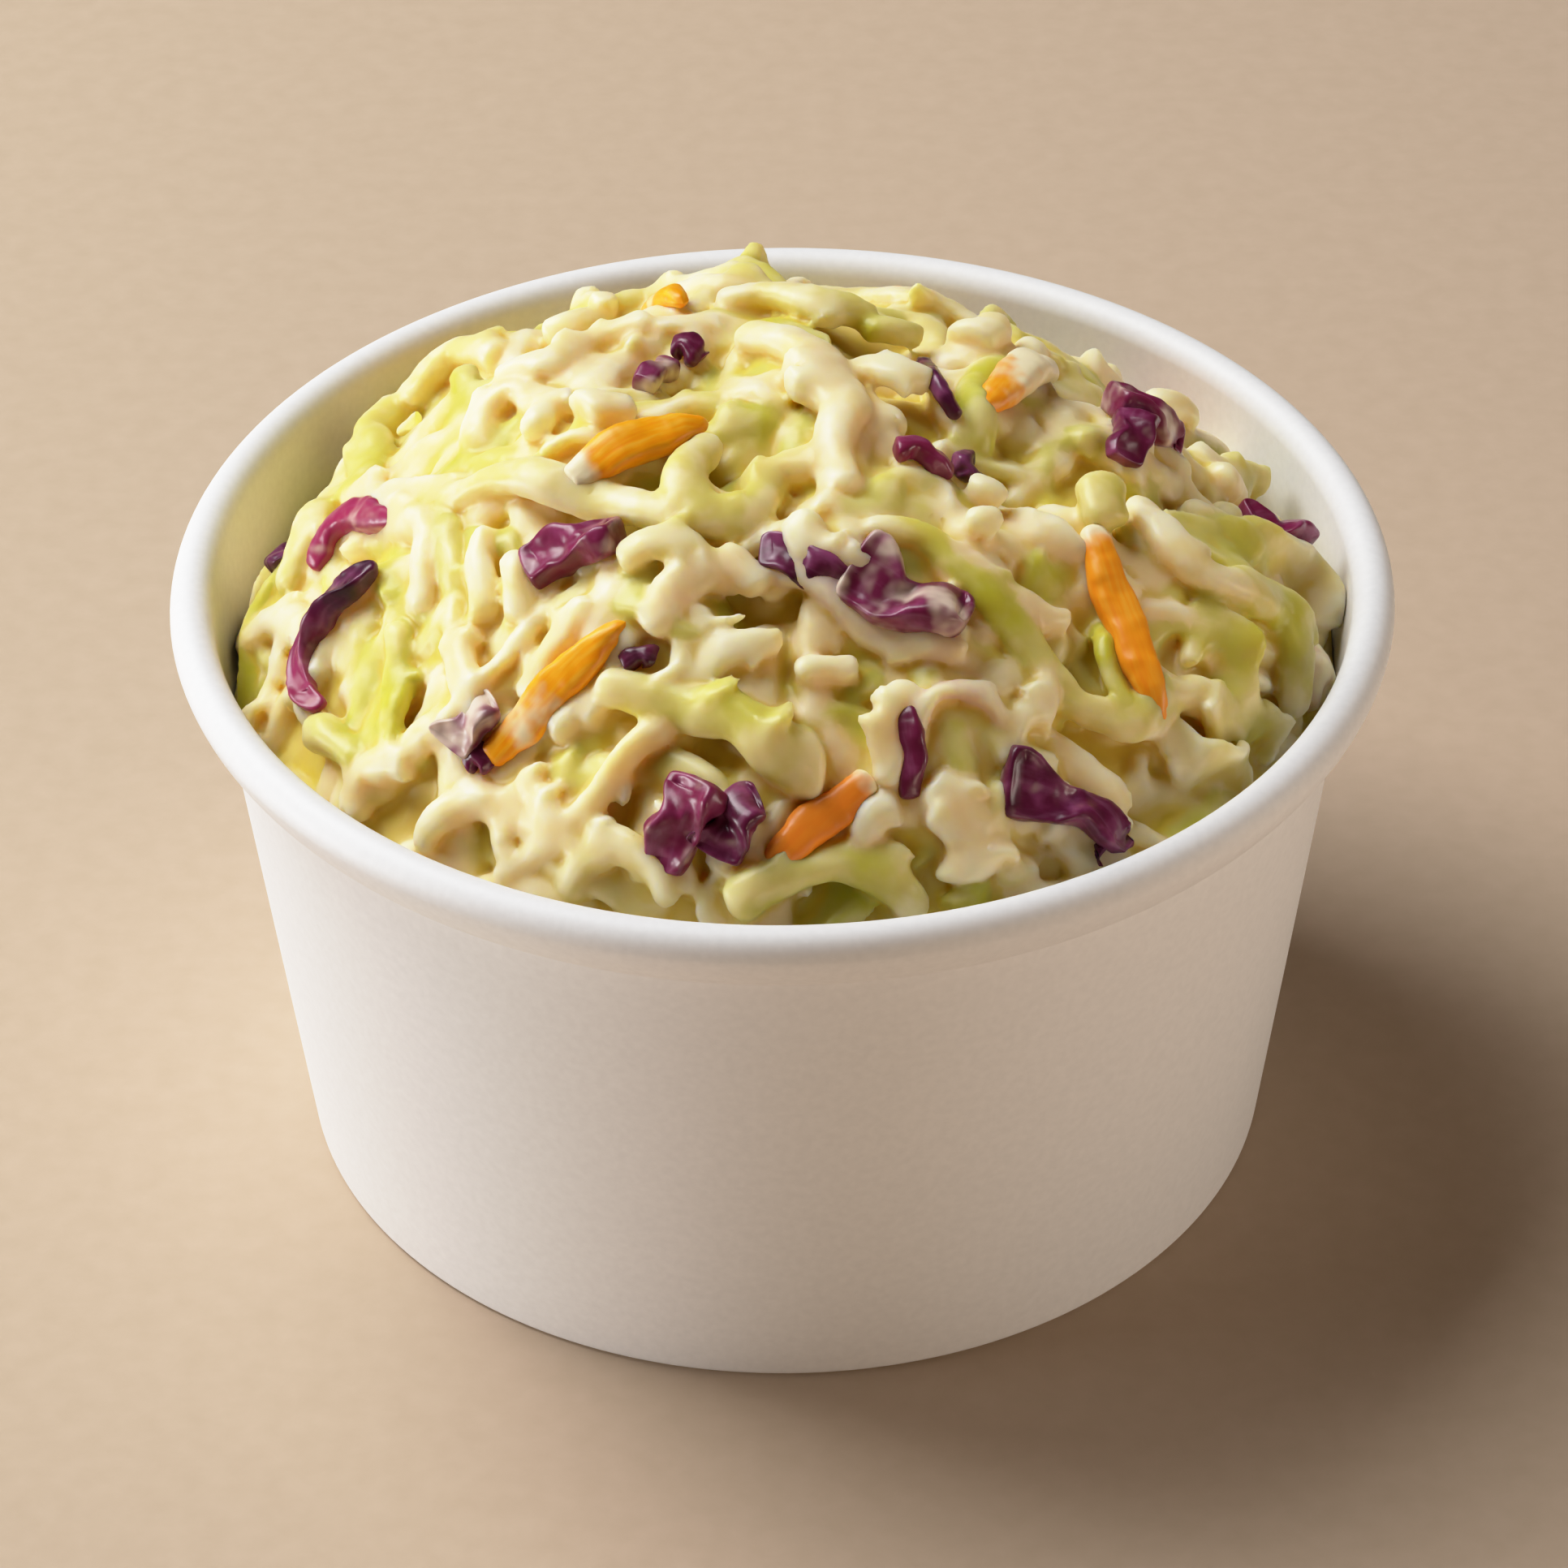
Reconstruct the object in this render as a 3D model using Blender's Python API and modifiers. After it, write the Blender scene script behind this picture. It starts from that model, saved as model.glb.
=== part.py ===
"""A squat paper cup with a rolled rim, heaped with creamy coleslaw.

Metres, +Z up. The origin is the centre of the foot, on the surface that the cup stands on.
The side is one sheet of board: folded inwards at the foot, and curled outwards at the rim.
The bottom is a disc with a turned-down skirt, which the foot's fold grips.
The slaw fills the cup from its bottom to an uneven mound above the rim.
"""

import math

import bmesh
import bpy

MM = 0.001

# Driving dimensions.
RIM_RADIUS = 48.0 * MM
HEIGHT = 50.0 * MM
FOOT_RADIUS = 39.2 * MM
WALL_TOP_RADIUS = 45.1 * MM
BOARD = 0.45 * MM
GAP = 0.3 * MM

CURL_HALF_HEIGHT = 1.9 * MM
CURL_END_DEGREES = -120
CURL_STEP_DEGREES = 30

FOLD_HEIGHT = 5.0 * MM
FOOT_FLAT = 0.9 * MM
FOOT_CHAMFER = 0.28 * MM
BOTTOM_HEIGHT = 6.0 * MM
SKIRT_BEND = 1.0 * MM

# The mound: its level along the wall, its crown, and how it leans and swells.
EDGE_LEVEL = 42.0 * MM
FRONT_RISE = 3.5 * MM
RIGHT_RISE = 1.5 * MM
CROWN_LEVEL = 68.5 * MM
SHOULDER_POWER = 2.6
LEFT_LEAN = 4.0 * MM
# Each swell: height, wavelength, direction in degrees, and where its first wave starts, in degrees.
SWELLS = (
    (0.8 * MM, 21 * MM, 20, 40),
    (0.7 * MM, 15 * MM, 105, 200),
    (0.6 * MM, 12 * MM, 155, 90),
    (0.5 * MM, 10 * MM, 60, 310),
)

SIDES = 72
MOUND_RINGS = 13
WALL_RINGS = 2
FLOOR_RINGS = 3

PAPER_WHITE = (0.88, 0.86, 0.84, 1)
SLAW_CREAM = (0.78, 0.74, 0.42, 1)


def clear_scene():
    for old in list(bpy.data.objects):
        bpy.data.objects.remove(old)


def material(name, colour, roughness):
    made = bpy.data.materials.new(name)
    made.use_nodes = True
    shader = made.node_tree.nodes["Principled BSDF"]
    shader.inputs["Base Color"].default_value = colour
    shader.inputs["Roughness"].default_value = roughness
    shader.inputs["Metallic"].default_value = 0
    return made


def outer_radius(z):
    """The side's outer face at a height, up to the middle of the curl, where the board starts to turn."""
    straight = HEIGHT - CURL_HALF_HEIGHT
    return FOOT_RADIUS + (WALL_TOP_RADIUS - FOOT_RADIUS) * z / straight


def inner_radius(z):
    return outer_radius(z) - BOARD


def side_profile():
    """The middle of the side's board, from the curl's tucked-in end, over the rim, to the fold's end."""
    inside = WALL_TOP_RADIUS - BOARD / 2
    outside = RIM_RADIUS - BOARD / 2
    half_width = (outside - inside) / 2
    half_height = CURL_HALF_HEIGHT - BOARD / 2
    centre_radius = inside + half_width
    centre_height = HEIGHT - CURL_HALF_HEIGHT
    points = []
    for degrees in range(CURL_END_DEGREES, 181, CURL_STEP_DEGREES):
        turn = math.radians(degrees)
        radius = centre_radius + half_width * math.cos(turn)
        points.append((radius, centre_height + half_height * math.sin(turn)))

    middle = BOARD / 2
    flat_outer = outer_radius(0) - middle - FOOT_CHAMFER
    flat_inner = flat_outer - FOOT_FLAT
    fold_radius = flat_inner - FOOT_CHAMFER
    lean = outer_radius(FOLD_HEIGHT) - outer_radius(0)
    points += [
        (outer_radius(middle + FOOT_CHAMFER) - middle, middle + FOOT_CHAMFER),
        (flat_outer, middle),
        (flat_inner, middle),
        (fold_radius, middle + FOOT_CHAMFER),
        (fold_radius + lean, FOLD_HEIGHT),
    ]
    return points


def bottom_profile():
    """The middle of the bottom's board, from its centre out over the bend and down the skirt."""
    skirt_offset = BOARD + GAP + BOARD / 2
    skirt_end = BOARD + GAP
    bend_start = BOTTOM_HEIGHT - SKIRT_BEND
    skirt_top = outer_radius(bend_start) - skirt_offset
    corner = SKIRT_BEND * (1 - math.sqrt(0.5))
    return [
        (0, BOTTOM_HEIGHT),
        (skirt_top - SKIRT_BEND, BOTTOM_HEIGHT),
        (skirt_top - corner, BOTTOM_HEIGHT - corner),
        (skirt_top, bend_start),
        (outer_radius(skirt_end) - skirt_offset, skirt_end),
    ]


def turned_board(name, profile, paper, collection):
    """A sheet of board turned about +Z from its middle line."""
    mesh = bpy.data.meshes.new(name)
    points = [(radius, 0, height) for radius, height in profile]
    mesh.from_pydata(points, [(i, i + 1) for i in range(len(points) - 1)], [])
    made = bpy.data.objects.new(name, mesh)
    collection.objects.link(made)
    made.data.materials.append(paper)
    screw = made.modifiers.new("turn", "SCREW")
    screw.steps = SIDES
    screw.render_steps = SIDES
    screw.use_merge_vertices = True
    screw.merge_threshold = 0.01 * MM
    board = made.modifiers.new("board", "SOLIDIFY")
    board.thickness = BOARD
    board.offset = 0
    board.use_even_offset = True
    return made


def mound_height(x, y):
    """The slaw's top at a place across the cup."""
    wall = inner_radius(EDGE_LEVEL)
    share = min(math.hypot(x, y) / wall, 1)
    edge = EDGE_LEVEL + (RIGHT_RISE * x - FRONT_RISE * y) / wall
    dome = (CROWN_LEVEL - EDGE_LEVEL) * (1 - share**SHOULDER_POWER)
    lean = -LEFT_LEAN * x / wall * (1 - share**2)
    height = edge + dome + lean
    for rise, wavelength, direction, start in SWELLS:
        along = x * math.cos(math.radians(direction)) + y * math.sin(math.radians(direction))
        height += rise * math.sin(math.tau * along / wavelength + math.radians(start))
    return height


def mound_edge(turn):
    """Where the mound meets the wall: its radius and level, a gap short of the board."""
    radius = inner_radius(EDGE_LEVEL) - GAP
    level = mound_height(radius * math.cos(turn), radius * math.sin(turn))
    return inner_radius(level) - GAP, level


def slaw_point(ring, turn):
    """Where a ring of the slaw lies, counted from the mound's crown down to the middle of the floor."""
    edge_radius, edge_level = mound_edge(turn)
    if ring < MOUND_RINGS:
        radius = edge_radius * ring / MOUND_RINGS
        return radius, mound_height(radius * math.cos(turn), radius * math.sin(turn))
    floor = BOTTOM_HEIGHT + BOARD / 2 + GAP
    foot_radius = inner_radius(floor) - GAP
    if ring <= MOUND_RINGS + WALL_RINGS:
        down = (ring - MOUND_RINGS) / WALL_RINGS
        return edge_radius + (foot_radius - edge_radius) * down, edge_level + (floor - edge_level) * down
    inwards = (ring - MOUND_RINGS - WALL_RINGS) / FLOOR_RINGS
    return foot_radius * (1 - inwards), floor


def slaw_heap(cream, collection):
    """The slaw as one solid, shaped from a sphere whose rings become the mound, the wall and the floor."""
    rings = MOUND_RINGS + WALL_RINGS + FLOOR_RINGS
    shape = bmesh.new()
    bmesh.ops.create_uvsphere(shape, u_segments=SIDES, v_segments=rings, radius=1)
    for vertex in shape.verts:
        x, y, z = vertex.co
        ring = round(math.acos(max(-1, min(1, z))) / math.pi * rings)
        turn = math.atan2(y, x)
        radius, height = slaw_point(ring, turn)
        vertex.co = (radius * math.cos(turn), radius * math.sin(turn), height)
    mesh = bpy.data.meshes.new("slaw")
    shape.to_mesh(mesh)
    shape.free()
    mesh.shade_smooth()
    made = bpy.data.objects.new("slaw", mesh)
    made.data.materials.append(cream)
    collection.objects.link(made)
    return made


def main():
    clear_scene()
    collection = bpy.data.collections.new("coleslaw_cup")
    bpy.context.scene.collection.children.link(collection)
    paper = material("white_paperboard", PAPER_WHITE, 0.6)
    cream = material("dressed_slaw", SLAW_CREAM, 0.4)
    turned_board("cup_side", side_profile(), paper, collection)
    turned_board("cup_bottom", bottom_profile(), paper, collection)
    slaw_heap(cream, collection)


main()
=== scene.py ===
"""A squat white paper cup with a rolled rim, heaped with creamy coleslaw."""

import math
import random

import bmesh
import bpy
import numpy as np
from mathutils import Matrix, Vector
from mathutils.bvhtree import BVHTree


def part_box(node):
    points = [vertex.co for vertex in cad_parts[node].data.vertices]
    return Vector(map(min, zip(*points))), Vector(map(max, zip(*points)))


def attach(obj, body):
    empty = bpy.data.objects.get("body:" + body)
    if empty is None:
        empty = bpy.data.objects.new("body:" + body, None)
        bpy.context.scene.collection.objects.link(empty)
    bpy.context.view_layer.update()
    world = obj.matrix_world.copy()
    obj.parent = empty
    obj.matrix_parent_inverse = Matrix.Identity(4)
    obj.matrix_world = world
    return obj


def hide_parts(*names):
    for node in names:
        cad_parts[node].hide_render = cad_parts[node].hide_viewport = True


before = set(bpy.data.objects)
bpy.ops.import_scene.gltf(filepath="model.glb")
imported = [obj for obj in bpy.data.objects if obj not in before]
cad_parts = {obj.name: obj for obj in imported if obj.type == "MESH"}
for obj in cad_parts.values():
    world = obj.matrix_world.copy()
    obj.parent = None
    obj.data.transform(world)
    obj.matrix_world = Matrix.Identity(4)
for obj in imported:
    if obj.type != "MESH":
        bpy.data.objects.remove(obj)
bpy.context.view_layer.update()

MM = 0.001

# The cup, from the frame's own boxes.
RIM_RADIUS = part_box("cup_side")[1].x
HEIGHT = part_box("cup_side")[1].z
BOTTOM_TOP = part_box("cup_bottom")[1].z
FOOT_RADIUS = RIM_RADIUS * 39.2 / 48
WALL_TOP_RADIUS = RIM_RADIUS * 45.1 / 48
BOARD = 0.45 * MM
GAP = 0.3 * MM
CURL_HALF_HEIGHT = 1.9 * MM
SIDES = 192


def deselect():
    if bpy.context.object and bpy.context.object.mode != "OBJECT":
        bpy.ops.object.mode_set(mode="OBJECT")
    bpy.ops.object.select_all(action="DESELECT")


def make_active(made):
    deselect()
    made.select_set(True)
    bpy.context.view_layer.objects.active = made


def apply_modifier(made, kind, **settings):
    """Adds a modifier, sets it and applies it."""
    make_active(made)
    modifier = made.modifiers.new(kind.lower(), kind)
    for key, value in settings.items():
        setattr(modifier, key, value)
    bpy.ops.object.modifier_apply(modifier=modifier.name)


# ---------------------------------------------------------------- camera, light and floor

def studio():
    """The camera, soft light from the left, low cards that lift the shaded side, and the floor."""
    scene = bpy.context.scene
    scene.view_settings.view_transform = "Standard"
    soft_highlights(scene.view_settings)

    bpy.ops.object.camera_add(location=(0, -0.39847, 0.32731))
    camera = bpy.context.object
    tilt = Matrix.Rotation(math.radians(90 - 36.87), 3, "X")
    roll = Matrix.Rotation(math.radians(-0.516), 3, "Z")
    camera.rotation_euler = (tilt @ roll).to_euler()
    camera.data.lens = 142
    camera.data.sensor_width = 36
    scene.camera = camera

    world = bpy.data.worlds.new("dark")
    world.use_nodes = True
    world.node_tree.nodes["Background"].inputs["Strength"].default_value = 0
    scene.world = world

    aim = Vector((0, 0, 0.03))
    for name, place, size, watts, colour in (
        ("side_lamp", Vector((-0.51, 0.30, 0.57)), 0.4, 2.85, (1, 1, 1)),
        ("top_lamp", Vector((-0.35, 0.20, 0.72)), 0.5, 5.9, (1, 1, 1)),
        ("left_card", Vector((-0.495, -0.07, 0.04)), 0.2, 2.0, (1, 1, 1)),
        ("front_card", Vector((0.25, -0.43, 0.04)), 0.2, 0.6, (1, 0.76, 0.56)),
        ("right_card", Vector((0.49, -0.09, 0.04)), 0.2, 0.8, (1, 0.9, 0.78)),
        ("right_lamp", Vector((0.54, 0.0, 0.48)), 0.4, 0.12, (1, 0.6, 0.3)),
    ):
        bpy.ops.object.light_add(type="AREA", location=place)
        light = bpy.context.object
        light.name = name
        light.rotation_euler = (place - aim).to_track_quat("Z", "Y").to_euler()
        light.data.size = size
        light.data.energy = watts
        light.data.color = colour

    bpy.ops.mesh.primitive_plane_add(size=6)
    floor = bpy.context.object
    floor.name = "floor"
    floor.data.materials.append(pale_floor())


def soft_highlights(settings):
    """A tone curve that rolls off gently towards white."""
    settings.use_curve_mapping = True
    mapping = settings.curve_mapping
    mapping.clip_max_x = 2
    tones = mapping.curves[3]
    tones.points[1].location = (2.0, 0.99)
    for light, shown in ((0.35, 0.35), (0.65, 0.64), (0.9, 0.82), (1.2, 0.92)):
        tones.points.new(light, shown)
    mapping.update()


def new_material(name):
    made = bpy.data.materials.new(name)
    made.use_nodes = True
    nodes = made.node_tree.nodes
    return made, nodes, made.node_tree.links.new, nodes["Principled BSDF"]


def noise(nodes, link, scale, detail=3.0, source=None):
    """A noise over the object's own coordinates; scale is in waves a metre."""
    made = nodes.new("ShaderNodeTexNoise")
    made.inputs["Scale"].default_value = scale
    made.inputs["Detail"].default_value = detail
    if source is None:
        source = nodes.new("ShaderNodeTexCoord").outputs["Object"]
    link(source, made.inputs["Vector"])
    return made.outputs["Fac"]


def ramp(nodes, link, value, stops):
    """A colour ramp over a value: stops are (place, colour)."""
    made = nodes.new("ShaderNodeValToRGB")
    while len(made.color_ramp.elements) < len(stops):
        made.color_ramp.elements.new(0.5)
    for element, (place, colour) in zip(made.color_ramp.elements, stops):
        element.position = place
        element.color = (*colour, 1)
    link(value, made.inputs["Fac"])
    return made.outputs["Color"]


def bump(nodes, link, shader, height, strength, distance):
    made = nodes.new("ShaderNodeBump")
    made.inputs["Strength"].default_value = strength
    made.inputs["Distance"].default_value = distance
    link(height, made.inputs["Height"])
    link(made.outputs["Normal"], shader.inputs["Normal"])


def pale_floor():
    made, nodes, link, shader = new_material("pale_floor")
    grain = noise(nodes, link, 420, 5)
    sand = ramp(nodes, link, grain, [(0.3, (0.504, 0.382, 0.272)), (0.7, (0.538, 0.409, 0.298))])
    link(sand, shader.inputs["Base Color"])
    shader.inputs["Roughness"].default_value = 0.8
    bump(nodes, link, shader, noise(nodes, link, 1500, 3), 0.1, 0.04 * MM)
    return made


def white_paperboard():
    made, nodes, link, shader = new_material("white_paperboard")
    fibre = noise(nodes, link, 1400, 5)
    link(ramp(nodes, link, fibre, [(0.3, (0.82, 0.82, 0.83)), (0.7, (0.87, 0.87, 0.88))]), shader.inputs["Base Color"])
    shader.inputs["Roughness"].default_value = 0.5
    bump(nodes, link, shader, fibre, 0.25, 0.02 * MM)
    return made


# ---------------------------------------------------------------- the paper cup

def outer_radius(z):
    return FOOT_RADIUS + (WALL_TOP_RADIUS - FOOT_RADIUS) * z / (HEIGHT - CURL_HALF_HEIGHT)


def inner_radius(z):
    return outer_radius(z) - BOARD


def arc(centre, half_width, half_height, start, end, steps, squareness=1.0):
    """Points along part of an ellipse in the (radius, height) plane; angles in degrees; squareness 1 is round."""
    points = []
    for step in range(steps + 1):
        turn = math.radians(start + (end - start) * step / steps)
        across, up = (math.copysign(abs(part) ** squareness, part) for part in (math.cos(turn), math.sin(turn)))
        points.append((centre[0] + half_width * across, centre[1] + half_height * up))
    return points


def side_profile():
    """The middle of the side's board, from the curl's tucked-in end, over the rim, down and round the foot."""
    inside = WALL_TOP_RADIUS - BOARD / 2
    half_width = (RIM_RADIUS - BOARD / 2 - inside) / 2
    centre = (inside + half_width, HEIGHT - CURL_HALF_HEIGHT)
    # The curl's outer half runs down to a seam against the wall.
    seam = HEIGHT - 5.8 * MM
    seam_radius = outer_radius(seam) + BOARD / 2 + 0.12 * MM
    reach = RIM_RADIUS - BOARD / 2 - seam_radius
    profile = arc((seam_radius, centre[1]), reach, centre[1] - seam, -90, 0, 20, 1.4)
    profile += arc(centre, half_width, CURL_HALF_HEIGHT - BOARD / 2, 0, 180, 24)[1:]
    levels = 10
    top = HEIGHT - CURL_HALF_HEIGHT
    corner = 0.35 * MM
    foot = BOARD / 2 + corner
    for level in range(1, levels + 1):
        z = top + (foot - top) * level / levels
        profile.append((outer_radius(z) - BOARD / 2, z))
    outer_corner = profile[-1][0] - corner
    profile += arc((outer_corner, foot), corner, corner, 0, -90, 4)[1:]
    profile += arc((outer_corner - 0.9 * MM, foot), corner, corner, -90, -180, 4)
    lean = outer_radius(5 * MM) - outer_radius(foot)
    profile.append((profile[-1][0] + lean, 5 * MM))
    return profile


def bottom_profile():
    """The middle of the bottom's board, from near its centre, over the bend and down the skirt."""
    bend = 1 * MM
    level = BOTTOM_TOP - BOARD / 2
    offset = BOARD + GAP + BOARD / 2
    skirt_top = outer_radius(level - bend) - offset
    profile = [(RIM_RADIUS * 0.25, level), (RIM_RADIUS * 0.55, level)]
    profile += arc((skirt_top - bend, level - bend), bend, bend, 90, 0, 8)
    profile.append((outer_radius(BOARD + GAP) - offset, BOARD + GAP))
    return profile


def turned_sheet(name, profile, closed_centre=False):
    """A circle at the profile's first point, extruded ring by ring to the others, then given the board's thickness."""
    deselect()
    radius, height = profile[0]
    fill = "NGON" if closed_centre else "NOTHING"
    bpy.ops.mesh.primitive_circle_add(vertices=SIDES, radius=radius, fill_type=fill, location=(0, 0, height))
    made = bpy.context.object
    made.name = name
    bpy.ops.object.transform_apply(location=True)
    bpy.ops.object.mode_set(mode="EDIT")
    if closed_centre:
        bpy.ops.mesh.select_mode(type="EDGE")
        bpy.ops.mesh.region_to_loop()
    for next_radius, next_height in profile[1:]:
        bpy.ops.mesh.extrude_edges_move(TRANSFORM_OT_translate={"value": (0, 0, next_height - height)})
        scale = next_radius / radius
        bpy.ops.transform.resize(value=(scale, scale, 1), center_override=(0, 0, next_height))
        radius, height = next_radius, next_height
    bpy.ops.mesh.select_all(action="SELECT")
    bpy.ops.mesh.normals_make_consistent(inside=False)
    bpy.ops.object.mode_set(mode="OBJECT")
    apply_modifier(made, "SOLIDIFY", thickness=BOARD, offset=0, use_even_offset=True)
    make_active(made)
    bpy.ops.object.shade_smooth_by_angle(angle=math.radians(40))
    return made


def paper_cup():
    paper = white_paperboard()
    for name, profile, node, closed in (
        ("paper_side", side_profile(), "cup_side", False),
        ("paper_bottom", bottom_profile(), "cup_bottom", True),
    ):
        made = turned_sheet(name, profile, closed)
        made.data.materials.append(paper)
        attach(made, "root")
        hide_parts(node)


# ---------------------------------------------------------------- shreds, modelled once each

def pick_faces(made, wanted):
    """In edit mode: selects the faces for which wanted(centre, normal) is true, and nothing else."""
    shape = bmesh.from_edit_mesh(made.data)
    for face in shape.faces:
        face.select = bool(wanted(face.calc_center_median(), face.normal))
    shape.select_flush_mode()
    bmesh.update_edit_mesh(made.data)


def shred_shape(name, length, sections, knobs=(), corners=0.0, crease=0.0, smooth=2):
    """A shred along +X, extruded section by section from a thin block, then rounded.

    A section is (width, thickness, sideways shift, twist in degrees), in millimetres. A knob is (share
    of the length, side, reach): a side face there is drawn out, as where a vein or a branch was cut.
    Corners is how much is cut off the long edges first, so that a stick keeps its flat sides. Crease is
    the depth of a fold pressed in along the top.
    """
    deselect()
    step = length / len(sections)
    width, thickness, shift, twist = sections[0]
    bpy.ops.mesh.primitive_cube_add(size=1)
    made = bpy.context.object
    made.name = name
    bpy.ops.object.mode_set(mode="EDIT")
    bpy.ops.transform.resize(value=(step * MM, width * MM, thickness * MM))
    bpy.ops.transform.translate(value=(step / 2 * MM, shift * MM, 0))
    bpy.ops.mesh.select_mode(type="FACE")
    pick_faces(made, lambda centre, normal: normal.x > 0.9)
    for index, (next_width, next_thickness, next_shift, next_twist) in enumerate(sections[1:], 2):
        centre = (index * step * MM, next_shift * MM, 0)
        bpy.ops.mesh.extrude_region_move(
            TRANSFORM_OT_translate={"value": (step * MM, (next_shift - shift) * MM, 0)})
        bpy.ops.transform.rotate(
            value=-math.radians(next_twist - twist), orient_axis="X", center_override=centre)
        bpy.ops.transform.resize(
            value=(1, next_width / width, next_thickness / thickness), center_override=centre,
            orient_matrix=Matrix.Rotation(math.radians(next_twist), 3, "X"), orient_type="LOCAL",
            orient_matrix_type="LOCAL")
        width, thickness, shift, twist = next_width, next_thickness, next_shift, next_twist
    for share, side, reach in knobs:
        along = share * length * MM
        pick_faces(made, lambda centre, normal: abs(centre.x - along) < step * 0.5 * MM and normal.y * side > 0.6)
        for _ in range(2):
            bpy.ops.mesh.extrude_region_move(
                TRANSFORM_OT_translate={"value": (step * 0.2 * MM * side, side * reach * 0.5 * MM, 0)})
    if crease:
        pick_faces(made, lambda centre, normal: normal.z > 0.8)
        bpy.ops.mesh.inset(thickness=width * 0.24 * MM, depth=0)
        bpy.ops.transform.translate(value=(0, 0, -crease * MM))
    if corners:
        bpy.ops.mesh.select_all(action="SELECT")
        bpy.ops.mesh.bevel(offset=corners * MM, affect="EDGES")
    bpy.ops.object.mode_set(mode="OBJECT")
    apply_modifier(made, "SUBSURF", levels=smooth, render_levels=smooth)
    made.hide_render = True
    return made


def uneven(rng, count, width, thickness, wander, twist):
    """Sections for a hand-cut shred: its width, thickness and line all wander, and its ends stay blunt."""
    sections = []
    phase = rng.uniform(0, math.tau)
    for index in range(count):
        share = index / (count - 1)
        swell = 1 + 0.16 * math.sin(phase + share * 9) + rng.uniform(-0.12, 0.12)
        sections.append((
            width * swell,
            thickness * rng.uniform(0.85, 1.15),
            wander * math.sin(phase * 2 + share * 6) + rng.uniform(-0.2, 0.2),
            twist * math.sin(phase + share * 5) + rng.uniform(-8, 8),
        ))
    return sections


def cabbage_shapes():
    """The kinds of cabbage shred: plain strands, ones with branches, strips of leaf, and short chunks."""
    rng = random.Random(3)
    shapes = {"strand": [], "branch": [], "leaf": [], "chunk": []}
    for index in range(5):
        sections = uneven(rng, 9, rng.uniform(3.2, 4.0), rng.uniform(2.2, 2.7), 0.5, 20)
        knobs = [(rng.uniform(0.2, 0.8), rng.choice((-1, 1)), rng.uniform(0.5, 0.9)) for _ in range(2)]
        shapes["strand"].append(shred_shape(f"strand_{index}", 18, sections, knobs))
    for index in range(4):
        sections = uneven(rng, 8, rng.uniform(3.2, 3.9), rng.uniform(2.2, 2.6), 0.7, 15)
        knobs = [(0.31, 1, rng.uniform(1.8, 3.0)), (0.69, -1, rng.uniform(1.5, 2.6))]
        shapes["branch"].append(shred_shape(f"branch_{index}", 18, sections, knobs))
    for index in range(3):
        sections = uneven(rng, 10, rng.uniform(5.0, 6.2), 1.5, 0.7, 32)
        shapes["leaf"].append(shred_shape(f"leaf_{index}", 18, sections, corners=0.3, crease=0.35 * index))
    for index in range(4):
        sections = uneven(rng, 4, rng.uniform(3.2, 4.4), rng.uniform(2.6, 3.2), 0.4, 15)
        shapes["chunk"].append(shred_shape(f"chunk_{index}", 8, sections))
    return shapes


# ---------------------------------------------------------------- laying shreds on the heap

HEAP_TREE = BVHTree.FromObject(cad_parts["slaw"], bpy.context.evaluated_depsgraph_get())
HEAP_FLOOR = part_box("slaw")[0].z
HEAP_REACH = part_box("slaw")[1].x


def heap_top(x, y):
    """The heap's height at a place, from the solid that it fills."""
    hit = HEAP_TREE.ray_cast(Vector((x, y, 0.2)), Vector((0, 0, -1)))[0]
    return hit.z if hit else HEAP_FLOOR


def keep_inside(x, y, room):
    """Moves a place that is too near the wall back towards the axis."""
    radius = math.hypot(x, y)
    most = inner_radius(heap_top(x * 0.95, y * 0.95)) - room
    if radius <= most:
        return x, y
    return x * most / radius, y * most / radius


def heap_normal(x, y):
    """The heap's outward direction at a place, smoothed over a couple of millimetres."""
    reach = 2 * MM
    steepest = 1.4
    slopes = []
    for dx, dy in ((reach, 0), (0, reach)):
        slope = (heap_top(x + dx, y + dy) - heap_top(x - dx, y - dy)) / (2 * reach)
        slopes.append(max(-steepest, min(steepest, slope)))
    return Vector((-slopes[0], -slopes[1], 1)).normalized()


def lean(places, index):
    """How far a shred turns about its own line at a point so as to lie flat on the slope there."""
    before, after = places[max(index - 1, 0)], places[min(index + 1, len(places) - 1)]
    along = (after - before).normalized()
    up = Vector((0, 0, 1))
    up = (up - along * up.dot(along)).normalized()
    out = heap_normal(places[index].x, places[index].y)
    out = (out - along * out.dot(along)).normalized()
    return math.atan2(up.cross(out).dot(along), up.dot(out))


def part_way(values, share):
    """A value part of the way along: one number stands for all of the way, several are spread evenly."""
    if isinstance(values, (int, float)):
        return values
    return float(np.interp(share, np.linspace(0, 1, len(values)), values))


def drape(line, lift, tuck=0.0, roll=0.0, room=2.2):
    """Points over the heap along a line of places, (x, y) in millimetres; each point is (place, roll)."""
    places = [Vector(place) * MM for place in line]
    distances = [0.0]
    for before, after in zip(places, places[1:]):
        distances.append(distances[-1] + (after - before).length)
    count = max(4, round(distances[-1] / (2.2 * MM)) + 1)
    points = []
    for index in range(count):
        share = index / (count - 1)
        x = float(np.interp(share * distances[-1], distances, [place.x for place in places]))
        y = float(np.interp(share * distances[-1], distances, [place.y for place in places]))
        x, y = keep_inside(x, y, room * MM)
        rise = part_way(lift, share) - tuck * (2 * share - 1) ** 4
        points.append((Vector((x, y, heap_top(x, y) + rise * MM)), math.radians(part_way(roll, share))))
    return points


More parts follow.
